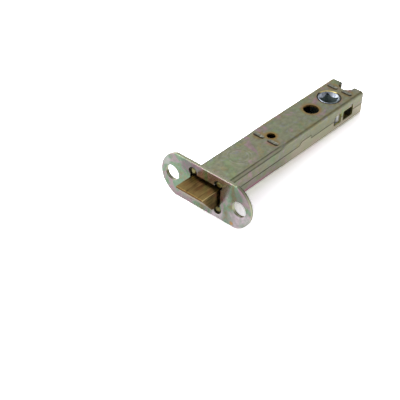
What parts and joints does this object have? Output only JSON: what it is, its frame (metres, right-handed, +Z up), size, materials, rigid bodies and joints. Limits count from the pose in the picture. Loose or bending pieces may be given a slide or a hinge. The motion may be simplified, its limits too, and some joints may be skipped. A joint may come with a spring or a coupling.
{
  "type": "door latch",
  "caption": "Tubular mortice door latch: sprung bevelled bolt in a slim folded steel case with a round-ended forend plate and a square spindle follower.",
  "frame": {"origin": "centre of the two forend screw holes, on the forend plate's front face and on the latch bolt's centre line", "axes": "+Y from the forend to the tail of the case (the bolt points along -Y), +Z up out of the case's flat face and along the spindle axis, X along the forend plate's length"},
  "size_m": [0.061, 0.1395, 0.0264],
  "materials": {
    "passivated_steel": "yellow passivated zinc plating, olive grey with a faint iridescence",
    "bare_steel": "plain mild steel",
    "bright_steel": "bright zinc plating",
    "spring_steel": "drawn spring wire",
    "brass": "satin brass with a fine grain"
  },
  "bodies": {
    "case": {"forend_plate": "passivated_steel", "case_upper": "passivated_steel", "case_lower": "passivated_steel", "front_crosspiece": "bare_steel", "tail_crosspiece": "bare_steel", "spring_guide_left": "bare_steel", "spring_guide_right": "bare_steel", "return_spring_left": "spring_steel", "return_spring_right": "spring_steel"},
    "retractor": {"retractor": "bright_steel"},
    "bolt": {"latch_bolt": "brass", "bolt_stem": "bare_steel", "stem_pin": "bare_steel", "stem_washer": "bare_steel", "stem_clip": "spring_steel", "bolt_spring": "spring_steel"},
    "follower": {"follower": "bright_steel"}
  },
  "joints": [
    {"name": "follower_turn", "type": "hinge", "parent": "case", "child": "follower", "pos_m": [0, 0.1077, 0], "axis": [0, 0, 1], "range_deg": [0, 70]},
    {"name": "retractor_slide", "type": "slide", "parent": "case", "child": "retractor", "axis": [0, 1, 0], "range_m": [0, 0.01044], "stiffness_N_per_m": 1000, "springref_m": -0.01, "deforming": ["return_spring_left", "return_spring_right"]},
    {"name": "bolt_slam", "type": "slide", "parent": "retractor", "child": "bolt", "axis": [0, 1, 0], "range_m": [0, 0.01044], "stiffness_N_per_m": 250, "springref_m": -0.012, "deforming": ["bolt_spring"]}
  ],
  "couplings": [
    {"joint": "follower_turn", "follows": "retractor_slide", "rad_per_m": 117.02}
  ]
}
